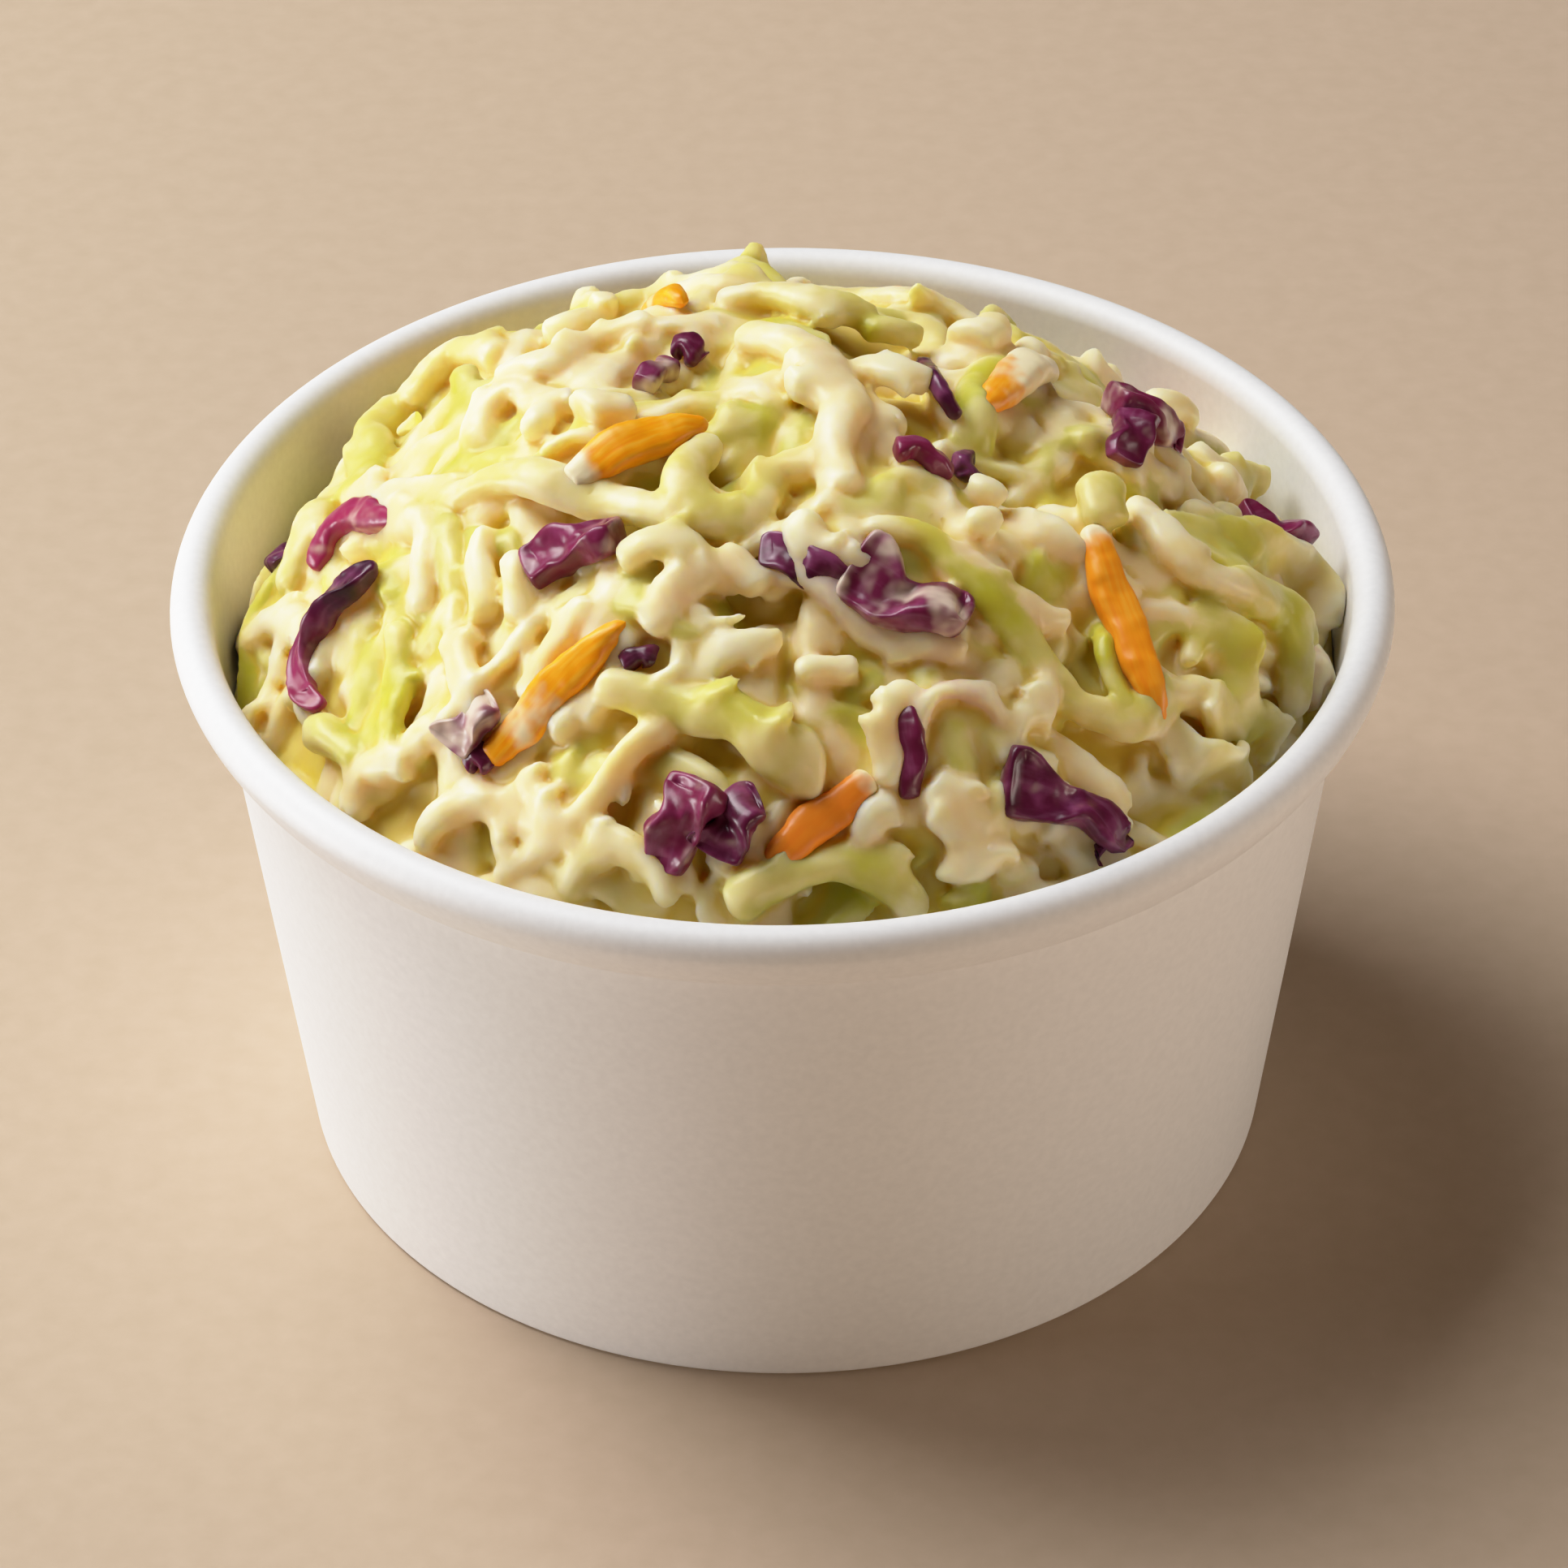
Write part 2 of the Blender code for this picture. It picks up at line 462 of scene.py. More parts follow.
def guide(points, swell):
    """A smooth curve through the points for a shred to lie along; swell scales the shred along it."""
    curve = bpy.data.curves.new("guide", "CURVE")
    curve.dimensions = "3D"
    curve.twist_mode = "Z_UP"
    curve.use_stretch = True
    curve.use_deform_bounds = True
    curve.resolution_u = 6
    spline = curve.splines.new("BEZIER")
    spline.bezier_points.add(len(points) - 1)
    places = [place for place, _ in points]
    for index, (knot, (place, roll)) in enumerate(zip(spline.bezier_points, points)):
        knot.co = place
        knot.handle_left_type = knot.handle_right_type = "AUTO"
        knot.tilt = roll + lean(places, index)
        knot.radius = part_way(swell, index / (len(points) - 1))
    made = bpy.data.objects.new("guide", curve)
    bpy.context.scene.collection.objects.link(made)
    return made


class Handful:
    """Shreds of one kind: each a copy of a shape, bent along its own guide, all joined at the end."""

    def __init__(self, name):
        self.name = name
        self.pieces = []
        self.guides = []

    def lay(self, shape, points, width=1.0, thickness=1.0, tone=0.5, pink=0.0, swell=1.0):
        """Tone and pink go into the shred's colours: one number, or several spread along it.

        Its grain is its own place in the straight shred, so that fibres run along it however it bends.
        """
        mesh = shape.data.copy()
        mesh.transform(Matrix.Diagonal((1, width, thickness, 1)))
        length = max(vertex.co.x for vertex in mesh.vertices)
        chance = random.Random(len(self.pieces)).random()
        colours = []
        grain = []
        for vertex in mesh.vertices:
            share = vertex.co.x / length
            colours += [part_way(tone, share), part_way(pink, share), chance, share]
            grain += [vertex.co.x * 0.12 + chance, vertex.co.y, vertex.co.z]
        mesh.attributes.new("tone", "FLOAT_COLOR", "POINT").data.foreach_set("color", colours)
        mesh.attributes.new("grain", "FLOAT_VECTOR", "POINT").data.foreach_set("vector", grain)
        made = bpy.data.objects.new(self.name, mesh)
        bpy.context.scene.collection.objects.link(made)
        path = guide(points, swell)
        bend = made.modifiers.new("along", "CURVE")
        bend.object = path
        self.pieces.append(made)
        self.guides.append(path)

    def join(self):
        deselect()
        for piece in self.pieces:
            piece.select_set(True)
        bpy.context.view_layer.objects.active = self.pieces[0]
        bpy.ops.object.convert(target="MESH")
        bpy.ops.object.join()
        made = bpy.context.object
        made.name = self.name
        for path in self.guides:
            bpy.data.objects.remove(path)
        return made


def scatter(rng, handful, shapes, count, lift, length, tones, taken):
    """Lays shreds at random over the heap, their ends tucked in; under the taken places they lie deeper."""
    laid = 0
    while laid < count:
        turn = rng.uniform(0, math.tau)
        radius = HEAP_REACH / MM * rng.random() ** 0.42
        heading = rng.uniform(0, math.tau)
        bend = math.radians(rng.uniform(-32, 32))
        x, y = radius * math.cos(turn), radius * math.sin(turn)
        size = rng.uniform(*length)
        line = []
        for _ in range(6):
            line.append((x, y))
            heading += bend + math.radians(rng.uniform(-15, 15))
            x += size / 5 * math.cos(heading)
            y += size / 5 * math.sin(heading)
        if math.hypot(*line[-1]) > HEAP_REACH / MM * 1.04:
            continue
        height = rng.uniform(*lift)
        if any(math.dist(place, other) < 2.8 for place in line for other in taken):
            height = lift[0]
        roll = rng.gauss(0, 22) * (0.2 if height == lift[0] else 1)
        points = drape(line, height, tuck=1.4, roll=(roll, roll + rng.uniform(-25, 25)))
        handful.lay(rng.choice(shapes), points, rng.uniform(0.85, 1.2), rng.uniform(0.85, 1.2), rng.choice(tones))
        laid += 1


def lay_all(rng, handful, shapes, pieces, taken):
    """Lays chosen shreds. Each is (kind, line, lift, width, tone, pink, swell); taken collects their places."""
    for kind, line, lift, width, tone, pink, swell in pieces:
        points = drape(line, lift, tuck=0.5, roll=rng.uniform(-8, 8))
        handful.lay(rng.choice(shapes[kind]), points, width, min(1.15, 0.35 + 0.65 * width), tone, pink, swell)
        taken.extend((place.x / MM, place.y / MM) for place, _ in points)


# Cabbage that lies on top: kind, line across the heap in millimetres, lift, width, green, pink, swell.
CABBAGE_ON_TOP = (
    ("strand", [(6, -20), (10, -19.5), (14.5, -22), (18, -24), (22, -26.5), (26.5, -26)], 0.5, 0.9,
     (0.35, 0.8, 1.0, 1.0, 0.8, 0.4), 0, (0.7, 0.9, 1, 1, 1, 1.1)),
    ("strand", [(-13.5, -28.5), (-10, -30), (-5, -33), (-0.5, -35), (3, -34.5)], 0.6, 1.1,
     (0.6, 0.7, 0.95, 0.8, 0.6), 0, (1.2, 0.95, 0.9, 1.2, 1.6, 1.5)),
    ("strand", [(-29.5, -16), (-29, -21.5), (-29.5, -27)], 0.2, 0.75, (0.8, 1, 1), 0, 1),
    ("strand", [(-12, -22.5), (-8, -22), (-2, -22.5)], 0.4, 0.95, (0.6, 0.55, 0.4), (0, 0, 0.3), 1),
    ("leaf", [(29.5, -7), (33.7, -5.5), (38, -1), (41, 0.3), (41.8, -2.5)], (0.8, 1.2, 1.4, 1.0, 0.3), 0.95,
     (0.6, 0.9, 0.8, 0.3, 0.1), 0, (0.8, 1, 1.1, 1.2, 1)),
    ("strand", [(27.5, -6), (30.6, -13.1), (33.1, -13.6), (38, -9.2), (39.2, -11), (39.7, -15)],
     (0.5, 0.9, 1.2, 1.6, 1.4, 0.8), 1.05, (0.1, 0, 0.4, 1.0, 0.9, 0.4), 0, (0.9, 1, 1, 1.3, 1.2, 1)),
    ("leaf", [(30.5, -17), (33.4, -17.1), (34.2, -20.5), (32.5, -24.1)], (0.3, 1.0, 1.1, 0.6), 0.9,
     (0.6, 0.9, 0.7, 0.4), 0, 1),
    ("leaf", [(33.3, -20.5), (36, -19.5), (38.1, -19.6)], 0.5, 0.75, (0.4, 0.8, 0.4), 0, 1),
    ("strand", [(41, -4), (42.5, -7.5), (42, -12)], -1.2, 0.7, 0, 0.8, 1),
    ("chunk", [(6.5, 8), (11, 10)], 0.2, 0.8, 1.0, 0, 1),
    ("chunk", [(31, -2.5), (37, -1)], 0.6, 0.75, (0.3, 0.5, 0.9), 0, 1),
    ("chunk", [(23.5, -9), (25, -12.5)], 0.9, 1.1, (0.8, 0.9), 0, 1),
    ("strand", [(-3.5, 5), (2.5, -1), (5.5, -7), (4, -12), (4, -16.5)], 0.5, 1.15, 0.1, 0, (0.8, 1, 1.2, 1.1, 1)),
    ("strand", [(5.5, -1.5), (11.5, -2)], 0.2, 1.0, 0.1, 0, 1),
    ("strand", [(2.5, -19.5), (2, -21.5), (4.5, -23), (7, -22)], 0.9, 0.85, 0, (0, 0, 0.3, 0.5), (1.4, 1.1, 1, 1)),
    ("strand", [(-7, -30.5), (-4, -28.5), (0, -27.5)], 0.6, 0.8, 0, 0, 1),
    ("branch", [(-21.5, -36), (-16, -36), (-8, -32.5)], 0.9, 0.75, (0.3, 0.2, 0), 0, 1),
    ("strand", [(7, -36), (7.5, -33.5), (9, -30)], 1.0, 0.8, 0, 0, 1),
    ("strand", [(-19.5, -27), (-16.5, -25.5), (-14.5, -23.5)], 0.3, 0.85, 0.1, 0, 1),
    ("strand", [(-19.5, -31.5), (-16, -36)], 0.8, 0.85, 0.05, 0, 1),
    ("strand", [(-24.5, -30.5), (-19.5, -33.5), (-14.5, -37.5)], 0.8, 0.85, 0.05, 0, 1),
    ("chunk", [(1, -30), (5.5, -28)], 0.4, 0.6, 0, 0.1, 1),
    ("chunk", [(10.5, -37), (14, -38)], 0.9, 0.9, 0, 0, 1),
    ("strand", [(-1.5, -22.5), (3, -24), (8, -26.5), (13.5, -28)], 0.5, 0.75, 0.1, (0.5, 1, 1, 0.4), 1),
    ("strand", [(9, -34), (10.5, -31.5), (13, -30.5), (16.5, -31)], 0.7, 0.5, 0.1, (0.6, 1, 0.9, 0.3), 1),
    ("strand", [(-24, -3), (-23.5, 0), (-21, 1.5), (-18, -2), (-18.5, -7)], 0.2, 0.9, (0.4, 0.1, 0, 0.1), 0, 1),
    ("strand", [(-32.5, 2), (-33, 8), (-32.3, 13.4), (-30, 17)], (0.2, 0.8, 1.9, 1.6), 1.1, (0.9, 0.8, 0.6), 0, 1),
    ("strand", [(-30, 17), (-26, 18), (-22, 14)], (1.6, 0.9, 0.2), 1.0, (0.6, 0.3), 0, 1),
    ("strand", [(-31, -0.5), (-25, -8), (-17, -13.5), (-11.5, -16), (-7, -18.5)], 0.1, 1.0, (0.2, 0.3, 0.5, 0.2), 0, 1),
    ("chunk", [(-15, -7.5), (-12, -5.5)], 0.2, 1.1, 0.4, 0, 1),
    ("strand", [(-22, 3.5), (-17.5, 3), (-14, 6.5), (-10, 8.5)], 0.1, 0.9, 0.15, 0, 1),
    ("chunk", [(-22, -13.5), (-23, -17), (-22, -20.5)], 0.3, 0.8, 0.3, 0, (0.8, 0.9, 1.2)),
    ("chunk", [(-20.5, -17), (-19.5, -20), (-19.5, -22)], 0.2, 0.8, 0.3, 0, (0.7, 0.9, 1.2)),
    ("strand", [(-25, -20), (-23, -26), (-24, -29)], 0.2, 0.75, 0.05, 0, (1.4, 1, 1)),
    ("strand", [(-10.5, -26.5), (-7.5, -25), (-4, -22)], 0.2, 1.1, 0, 0.1, 1),
    ("branch", [(-7.5, -25.5), (-7, -27.5), (-5.5, -30)], 0.1, 0.9, 0, 0, 1),
    ("chunk", [(-5, -22), (-1, -23.5)], 0.7, 0.8, 0, 0.15, 1),
    ("strand", [(-4.5, -10), (-7, -15), (-5.5, -18.5), (-1.5, -18), (-0.5, -12.5), (4, -11)], 0.2, 1.1,
     (0.5, 0.6, 0.6, 0.7, 0.4, 0.2), 0, 1),
    ("chunk", [(14.5, -11.5), (16.5, -12.5)], 0.4, 0.8, 0, 0.1, 1),
    ("chunk", [(14, -17), (16, -17.5)], 0.4, 0.8, 0, 0.1, 1),
    ("strand", [(16, -22), (21, -21)], 0.1, 0.85, 0, 0.1, 1),
    ("strand", [(18.5, -24.5), (19.5, -28.5), (16, -32.5)], 0.3, 0.75, 0.3, 0, 1),
    ("chunk", [(15.5, -33), (20, -32)], 0.2, 0.8, 0.5, 0, 1),
    ("strand", [(22, -26), (26.5, -26), (33, -21)], 0.1, 0.95, (0.9, 0.5, 0.4), 0, 1),
    ("strand", [(11, -35.5), (13.5, -36.5), (13.5, -39.5)], 0.8, 1.1, 0.05, 0, (0.8, 1, 1.3)),
    ("strand", [(-43, -3), (-39, -5.5), (-34.5, -12)], 0.2, 0.9, (0.1, 0.2, 0.4), 0, 1),
    ("strand", [(-33, -26), (-31, -26), (-28, -27.5)], 0.3, 1.0, 0, 0, 1),
    ("strand", [(-28, -33), (-25.5, -31), (-22, -32.5), (-19.5, -36.5)], 0.9, 0.75, (0.2, 0, 0, 0.4), 0, 1),
    ("strand", [(-16, -39), (-13, -37.5), (-10, -39), (-8.5, -41.5)], 0.9, 0.8, (0.6, 0.3, 0.5), 0, 1),
    ("strand", [(-4.5, -42), (-0.5, -41), (5, -39.5), (10.5, -41)], 1.0, 1.0, (0.7, 0.9, 0.9, 0.4), 0, 1),
    ("chunk", [(5, -38), (8.5, -37)], 0.9, 0.9, 0, 0.15, 1),
    ("chunk", [(-36, -19.5), (-33, -22.5), (-31.5, -25)], 0.1, 0.9, (0.8, 1), 0, 1),
    ("strand", [(-29.5, -4), (-25.5, -11), (-24.5, -17)], 0.0, 0.9, (0.5, 0.8, 0.7), 0, 1),
    ("strand", [(-34, 4), (-30, -4), (-27, -10), (-28, -16)], 0.1, 1.0, (0, 0.1, 0.2), 0, 1),
    ("strand", [(-33, 14), (-35.5, 8.5), (-37, 3), (-38.5, -3)], 0.6, 0.9, (0.2, 0.4, 0.6, 0.7), 0, 1),
    ("strand", [(-5, 12), (-1, 12), (3, 10), (7.5, 10)], 0.1, 1.0, (0.2, 0.5, 0.9), 0, 1),
    ("strand", [(11.5, -21.5), (13.5, -20), (16.5, -22)], 0.2, 0.7, 0, 0.2, 1),
    ("strand", [(33, 9), (37, 14), (40.5, 18)], (0.4, 1.4, 2.6), 1.0, (0.3, 0.6, 0.9), 0, 1),
    ("chunk", [(29, 17), (33, 19)], (1.2, 1.5), 1.1, 0.1, 0, 1),
    ("leaf", [(29, -25.5), (31.5, -26.5), (36, -25)], 0.1, 0.8, 0.3, 0, 1),
    ("strand", [(19.5, -33), (21, -35), (22.5, -37)], 0.4, 0.8, 0.2, 0, 1),
    ("strand", [(16, -34), (15, -36.5), (17, -39)], 0.6, 0.8, 0.4, 0, 1),
    ("chunk", [(15, 9), (17, 13)], 0.3, 1.2, 0.1, 0, 1),
    ("chunk", [(34, 6), (36, 9)], 0.6, 1.1, 0.1, 0, 1),
)

CARROT = (
    ("stick", [(-16, -13.5), (-11, -11.5), (-5.5, -8.5)], 1.0, 1.1, (1, 0.25, 0, 0, 0), 0, 1),
    ("stick", [(-22, -30), (-16.5, -28), (-11.5, -26.5)], 0.9, 1.0, (0, 0.55, 0.35, 0, 0), 0, 1),
    ("stick", [(6.5, -35.5), (2.5, -37.5), (-2, -41)], 0.7, 1.0, (0.8, 0, 0.1, 0.2, 0), 0.7, 1),
    ("stick", [(23.3, -13.2), (25.5, -19), (28.3, -26)], 1.2, 1.0, (0.9, 0, 0.1, 0.2, 0), 0.3, 1),
    ("stick", [(21, 9), (18, 2.5), (15.5, -2.5)], 0.5, 1.1, (0.9, 0.8, 0.5, 0.1), 0.2, 1),
    ("stick", [(-10.5, 17), (-7.5, 9.5)], 0.5, 0.8, (0.6, 0.4, 0), 0, 1),
    ("stick", [(-29, 23), (-25, 28), (-20, 31)], 0.6, 0.95, (0.2, 0, 0.4), 0.2, 1),
    ("stick", [(0, 34), (6, 31), (12, 30)], 0.7, 1.0, (0, 0.2, 0.7), 0, 1),
    ("stick", [(33, 21), (30, 27), (25, 32)], 0.6, 0.9, (0.5, 0.1, 0), 0.4, 1),
)

RED_CABBAGE = (
    ("curl", [(-36.5, -3), (-35.3, -1.5), (-33, -2), (-29, -6.5)], 1.0, 1.15, 0.2, 0.9, (0.8, 1.2, 1.2, 0.8)),
    ("slab", [(-30.8, -11.5), (-33.5, -11.8), (-36, -11.5), (-36.9, -14), (-36.3, -17), (-35, -18.8)], 0.7, 0.62, 0.1,
     (0, 0, 0.3, 0.7, 0.8), (0.7, 1.25, 1.3, 0.9, 0.75, 0.5)),
    ("slab", [(-19, -19.5), (-16, -19), (-12, -19.5)], 0.9, 1.05, 0.2, 0.4, 1),
    ("curl", [(-10.5, -1.5), (-8.5, 3)], 0.3, 1.0, 0.3, 0.3, 1),
    ("curl", [(-8, 5), (-6, 4)], 0.3, 1.1, 0, 0.2, 1),
    ("curl", [(8.5, -11.5), (12.5, -11)], 0.4, 1.1, 0, 0.5, 1),
    ("curl", [(13.5, -7.5), (14.5, -9)], 0.0, 1.0, 0, 0, 1),
    ("curl", [(11, 7), (12, -2.5), (13.5, -4.5)], 0.1, 0.6, 0, 0, 1),
    ("slab", [(26.5, -3.5), (27, -0.5), (28, 2)], 0.7, 0.8, 0.1, 0.2, (0.8, 1, 1)),
    ("slab", [(25.8, 3.2), (28.5, 4), (31, 4.5)], 1.2, 1.05, 0.3, 0.4, 1),
    ("slab", [(36.8, 2.2), (39, 3.4), (41.2, 4.6)], 1.2, 0.95, 0.05, 0.4, 1),
    ("slab", [(-1.5, -21.5), (1.5, -22.3), (5, -24)], 0.6, 0.9, 0.1, 0.1, 1),
    ("slab", [(5, -23), (9, -25), (13.5, -26.5)], 1.3, 1.3, 0.3, 0.3, 1),
    ("curl", [(-11.5, -28), (-9.5, -28)], 0, 0.8, 0, 0.1, 1),
    ("curl", [(9.5, -36.5), (9, -33), (9.5, -31.5)], 0.5, 1.2, 0.1, 0.3, (0.6, 1, 1)),
    ("slab", [(-8.7, -40), (-7.6, -38.3), (-6.3, -36.5)], 0.8, 1.05, 0.2, 0.4, (0.8, 1.2, 1)),
    ("slab", [(-5.2, -40), (-3.5, -38.6), (-1.9, -37.8)], 0.6, 0.95, 0.15, 0.15, 1),
    ("slab", [(16, -34.7), (20, -34.2), (23, -34.2), (24.5, -35.2), (25.5, -37)], 1.7, 1.0, 0.15, 0.15,
     (1.2, 1.1, 0.9, 0.8, 1.1)),
    ("curl", [(-39.5, 2.5), (-38.8, 0)], 0.6, 1.2, 0.15, 0, 1),
    ("slab", [(-24.8, -28.7), (-21.2, -27.3)], 1.0, 0.85, 0.42, 0.3, 1),
    ("curl", [(-23.5, -29.5), (-21.5, -30)], 0.5, 1.0, 0.1, 0.2, 1),
    ("slab", [(-34, 21), (-32, 24)], 0.7, 0.9, 0.2, 0.3, 1),
    ("curl", [(-17, 31), (-13, 34), (-9, 33)], 0.6, 1.1, 0.1, 0.5, 1),
    ("slab", [(-12, 36), (-8, 38)], 0.7, 0.95, 0.15, 0.2, 1),
    ("curl", [(-3, 34), (1, 35)], 0.5, 1.1, 0.2, 0, 1),
    ("slab", [(14, 35), (18, 35.5)], 0.8, 0.9, 0.3, 0.4, 1),
    ("curl", [(6, 41), (10, 40), (13, 38)], 0.6, 1.0, 0.1, 0.7, 1),
    ("slab", [(25, 31), (28, 28.5)], 0.7, 0.8, 0.1, 0.1, 1),
    ("curl", [(-22, 37), (-18, 39)], 0.5, 1.1, 0.2, 0.3, 1),
)


def carrot_shapes():
    """Shredded carrot: flat-sided sticks that run out to a point."""
    sticks = []
    for index, bow in enumerate((0.0, 0.3, -0.3)):
        sections = [
            (2.3, 1.9, 0, 0), (2.9, 2.2, bow, 4), (3.2, 2.3, bow, 8), (3.3, 2.3, 0, 10), (3.2, 2.3, 0, 12),
            (3.0, 2.2, bow, 12), (2.7, 2.0, bow, 10), (2.0, 1.6, 0, 8), (1.1, 1.0, 0, 6),
        ]
        sticks.append(shred_shape(f"carrot_stick_{index}", 13, sections, corners=0.55))
    return {"stick": sticks}


def red_cabbage_shapes():
    """Red cabbage: flat-sided slabs of folded leaf, and thin curls."""
    rng = random.Random(8)
    shapes = {"slab": [], "curl": []}
    for index in range(3):
        sections = uneven(rng, 5, 3.8, 2.5, 0.5, 22)
        shapes["slab"].append(shred_shape(f"red_slab_{index}", 8, sections, corners=0.35, crease=0.6))
        sections = uneven(rng, 7, 2.0, 1.8, 0.3, 15)
        shapes["curl"].append(shred_shape(f"red_curl_{index}", 8, sections, corners=0.35))
    return shapes


def heap_core(name, sink, level, keep_above):
    """The heap's solid, let down by a little and cut level, from the frame's own shape."""
    deselect()
    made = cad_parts["slaw"].copy()
    made.data = made.data.copy()
    made.name = name
    made.parent = None
    made.hide_render = False
    made.hide_viewport = False
    bpy.context.scene.collection.objects.link(made)
    make_active(made)
    bpy.ops.object.mode_set(mode="EDIT")
    bpy.ops.mesh.select_all(action="SELECT")
    bpy.ops.mesh.remove_doubles(threshold=0.01 * MM)
    bpy.ops.transform.translate(value=(0, 0, -sink))
    bpy.ops.mesh.bisect(
        plane_co=(0, 0, level), plane_no=(0, 0, 1), use_fill=True, clear_inner=keep_above, clear_outer=not keep_above)
    bpy.ops.object.mode_set(mode="OBJECT")
    made.data.materials.clear()
    return made


def read_vertices(mesh, field, size):
    values = np.empty(len(mesh.vertices) * size)
    mesh.vertices.foreach_get(field, values)
    return values.reshape(-1, size)


def press_to_wall(made):
    """Pushes in whatever stands beyond the board's inner face."""
    places = read_vertices(made.data, "co", 3)
    radius = np.hypot(places[:, 0], places[:, 1])
    wall = FOOT_RADIUS + (WALL_TOP_RADIUS - FOOT_RADIUS) * places[:, 2] / (HEIGHT - CURL_HALF_HEIGHT) - BOARD
    wall = np.minimum(wall, WALL_TOP_RADIUS - BOARD) - 0.12 * MM
    share = np.where((radius > wall) & (places[:, 2] < HEIGHT + 1 * MM), wall / np.maximum(radius, 1e-6), 1)
    places[:, :2] *= share[:, None]
    made.data.vertices.foreach_set("co", places.ravel())
    made.data.update()


def spread(values, edges, rounds):
    """Averages values over a mesh, each vertex with its neighbours, again and again."""
    count = len(values)
    ends = np.concatenate([edges[:, 0], edges[:, 1]])
    others = np.concatenate([edges[:, 1], edges[:, 0]])
    weight = np.maximum(np.bincount(ends, minlength=count), 1)
    for _ in range(rounds):
        summed = [np.bincount(ends, values[others, k], count) for k in range(values.shape[1])]
        values = 0.5 * values + 0.5 * np.stack(summed, 1) / weight[:, None]
    return values


def take_tone(made, source):
    """Gives a remeshed piece the tone of the shreds that it was made of."""
    made.data.attributes.new("tone", "FLOAT_COLOR", "POINT")
    apply_modifier(
        made, "DATA_TRANSFER", object=source, use_vert_data=True,
        data_types_verts={"COLOR_VERTEX"}, vert_mapping="NEAREST")


def paint_coat_and_shade(made):
    """Turns the tone into the guide for the dressed cabbage's colours: green, height, ridge, and pink. Height and ridge
    carry painted shade into its hollows and low places, and a painted highlight, along with the dressing's cream, onto
    its ridges.
    """
    mesh = made.data
    places = read_vertices(mesh, "co", 3)
    normals = read_vertices(mesh, "normal", 3)
    edges = np.empty(len(mesh.edges) * 2, dtype=np.int64)
    mesh.edges.foreach_get("vertices", edges)
    edges = edges.reshape(-1, 2)
    tone = np.empty(len(places) * 4)
    mesh.attributes["tone"].data.foreach_get("color", tone)
    tone = spread(tone.reshape(-1, 4), edges, 3)
    tops = np.array([heap_top(x, y) for x, y, _ in places])
    # Height is how far below the heap's top a point lies; ridge is how far it stands out from its neighbours. The
    # painted shade in hollows and low places and the painted highlight on ridges follow these.
    height = (places[:, 2] - tops) / (5 * MM) + 0.75
    ridge = ((places - spread(places, edges, 10)) * normals).sum(1) / (0.35 * MM) + 0.5
    ridge = spread(ridge[:, None], edges, 2)[:, 0]
    coat_and_shade = np.stack([tone[:, 0], np.clip(height, 0, 1), np.clip(ridge, 0, 1), tone[:, 1]], 1)
    mesh.attributes.remove(mesh.attributes["tone"])
    mark = mesh.attributes.new("coat_and_shade", "FLOAT_COLOR", "POINT")
    mark.data.foreach_set("color", coat_and_shade.ravel())


def lumps(made, size, strength):
    """Raises soft lumps all over, as thick dressing makes."""
    texture = bpy.data.textures.new("lumps", "CLOUDS")
    texture.noise_scale = size
    texture.noise_depth = 1
    apply_modifier(made, "DISPLACE", texture=texture, strength=strength, mid_level=0.5)
    bpy.data.textures.remove(texture)


def mix(nodes, link, share, one, other):
    """A mix of two colours, each a socket or a plain colour, by a share."""
    made = nodes.new("ShaderNodeMix")
    made.data_type = "RGBA"
    for socket, value in ((made.inputs[0], share), (made.inputs[6], one), (made.inputs[7], other)):
        if isinstance(value, tuple):
            socket.default_value = (*value, 1)
        elif isinstance(value, float):
            socket.default_value = value
        else:
            link(value, socket)
    return made.outputs[2]


def between(nodes, link, value, low, high, start=0.0, end=1.0):
    """A value's share of the way from low to high, smoothed and kept between start and end."""
    made = nodes.new("ShaderNodeMapRange")
    made.interpolation_type = "SMOOTHSTEP"
    for name, number in (("From Min", low), ("From Max", high), ("To Min", start), ("To Max", end)):
        made.inputs[name].default_value = number
    link(value, made.inputs["Value"])
    return made.outputs["Result"]


def sums(nodes, link, operation, one, other):
    made = nodes.new("ShaderNodeMath")
    made.operation = operation
    for socket, value in zip(made.inputs, (one, other)):
        if isinstance(value, float):
            socket.default_value = value
        else:
            link(value, socket)
    return made.outputs[0]


def channels(nodes, link, name):
    """An attribute's four values."""
    made = nodes.new("ShaderNodeAttribute")
    made.attribute_name = name
    parts = nodes.new("ShaderNodeSeparateColor")
    link(made.outputs["Color"], parts.inputs["Color"])
    return (*parts.outputs, made.outputs["Alpha"])


def soft_flesh(shader, weight, radius, scale, roughness):
    shader.inputs["Roughness"].default_value = roughness
    shader.inputs["Subsurface Weight"].default_value = weight
    shader.inputs["Subsurface Radius"].default_value = radius
    shader.inputs["Subsurface Scale"].default_value = scale


def fibres(nodes, link, scale):
    """Fine streaks along a shred, from its grain; scale is in streaks a metre across it."""
    made = nodes.new("ShaderNodeAttribute")
    made.attribute_name = "grain"
    return noise(nodes, link, scale, 2, made.outputs["Vector"])


